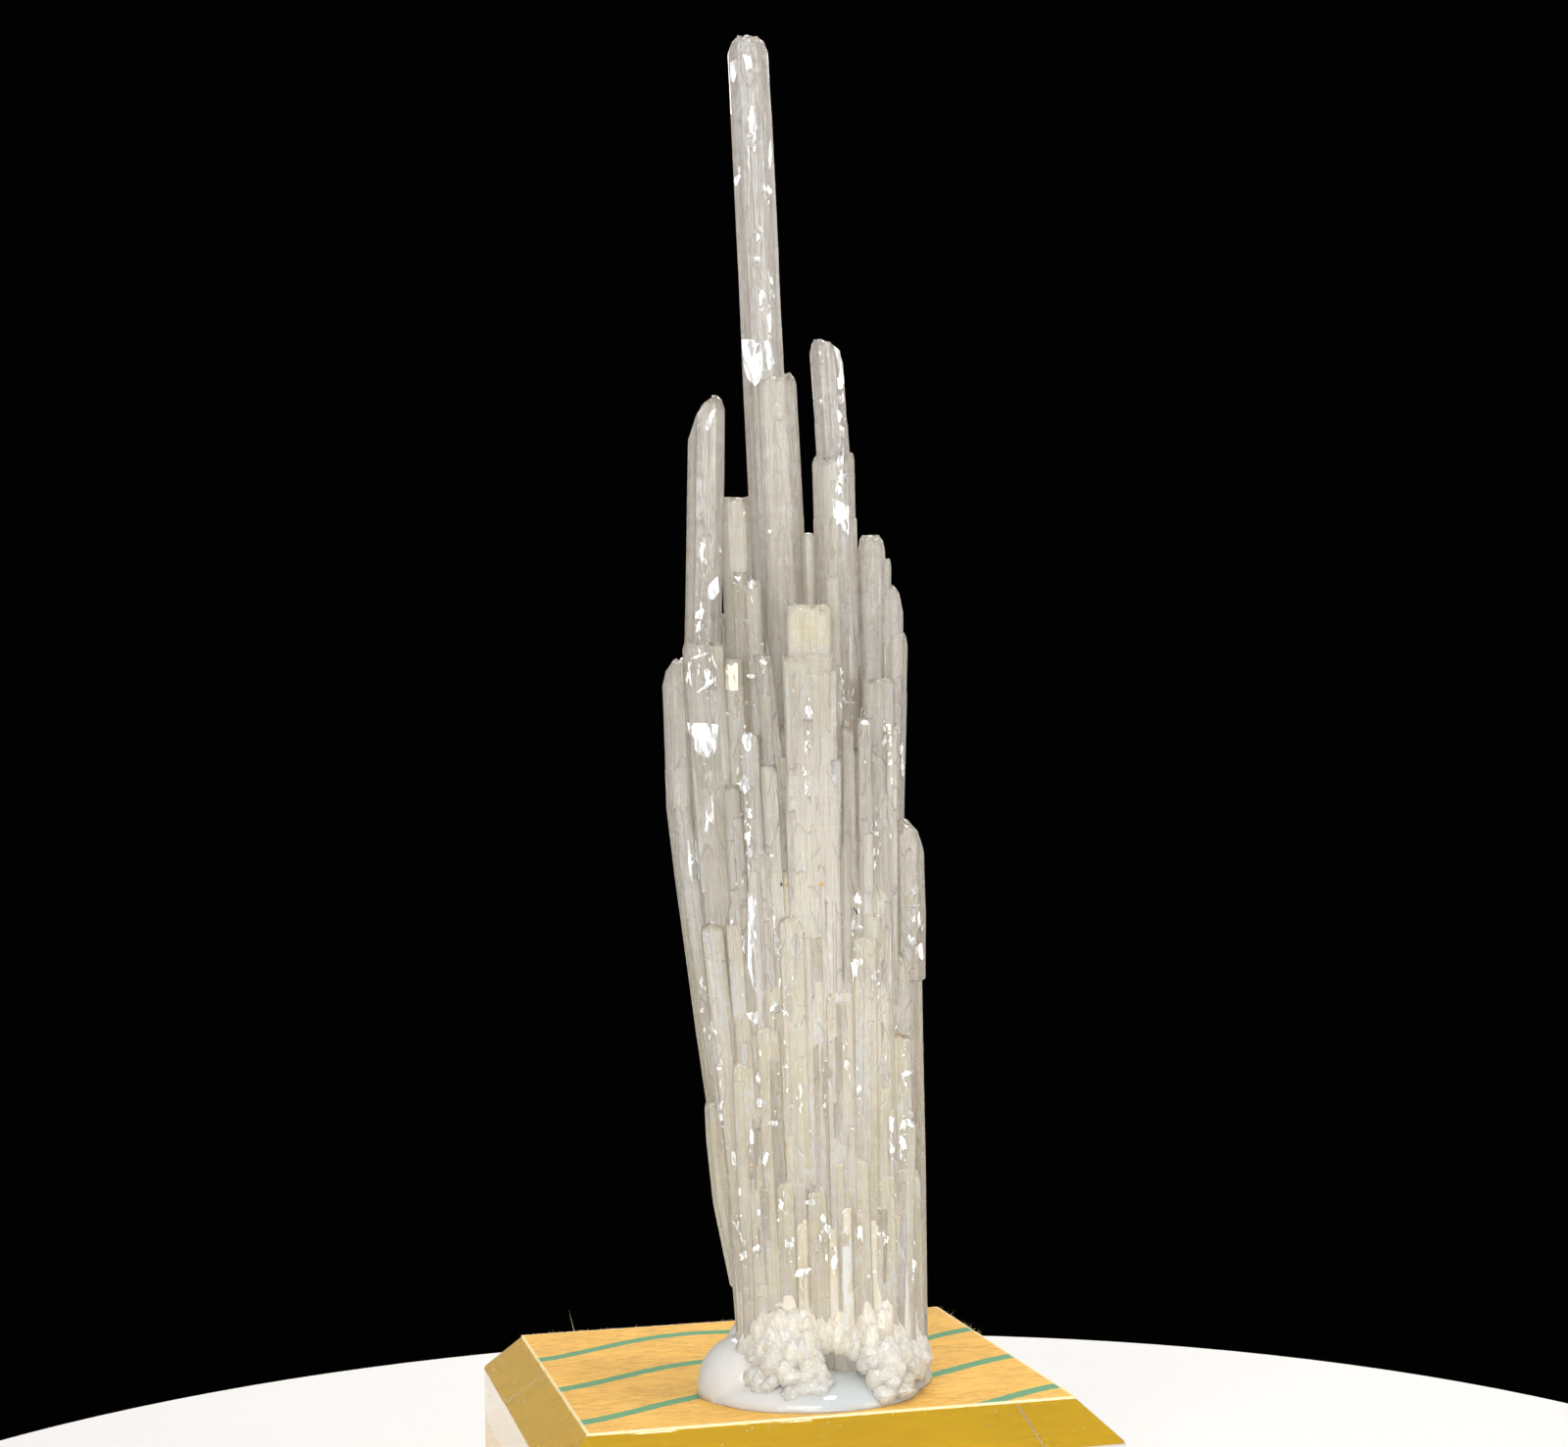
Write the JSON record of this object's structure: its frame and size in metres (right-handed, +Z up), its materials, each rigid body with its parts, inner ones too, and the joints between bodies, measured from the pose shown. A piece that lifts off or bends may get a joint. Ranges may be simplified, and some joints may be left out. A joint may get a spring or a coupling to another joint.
{
  "type": "selenite cluster on a display block",
  "caption": "Upright bundle of long striated selenite blades, set with a lump of glue on a bevelled clear acrylic block with kraft masking paper.",
  "frame": {"origin": "middle of the lower paper's underside", "axes": "+Z up along the blades, +X to the right and +Y to the back along the block's edges; the front of the cluster is turned 13 degrees towards -X"},
  "size_m": [0.0508, 0.0508, 0.144],
  "materials": {
    "selenite": "silky, striated, milky where it is cracked",
    "glue": "glossy and milky",
    "paper": "matt kraft with fine fibres",
    "acrylic": "polished clear"
  },
  "bodies": {
    "root": {"acrylic_block": "acrylic", "masking_paper": "paper", "underside_paper": "paper", "glue_lump": "glue", "selenite_cluster": "selenite"}
  },
  "joints": []
}
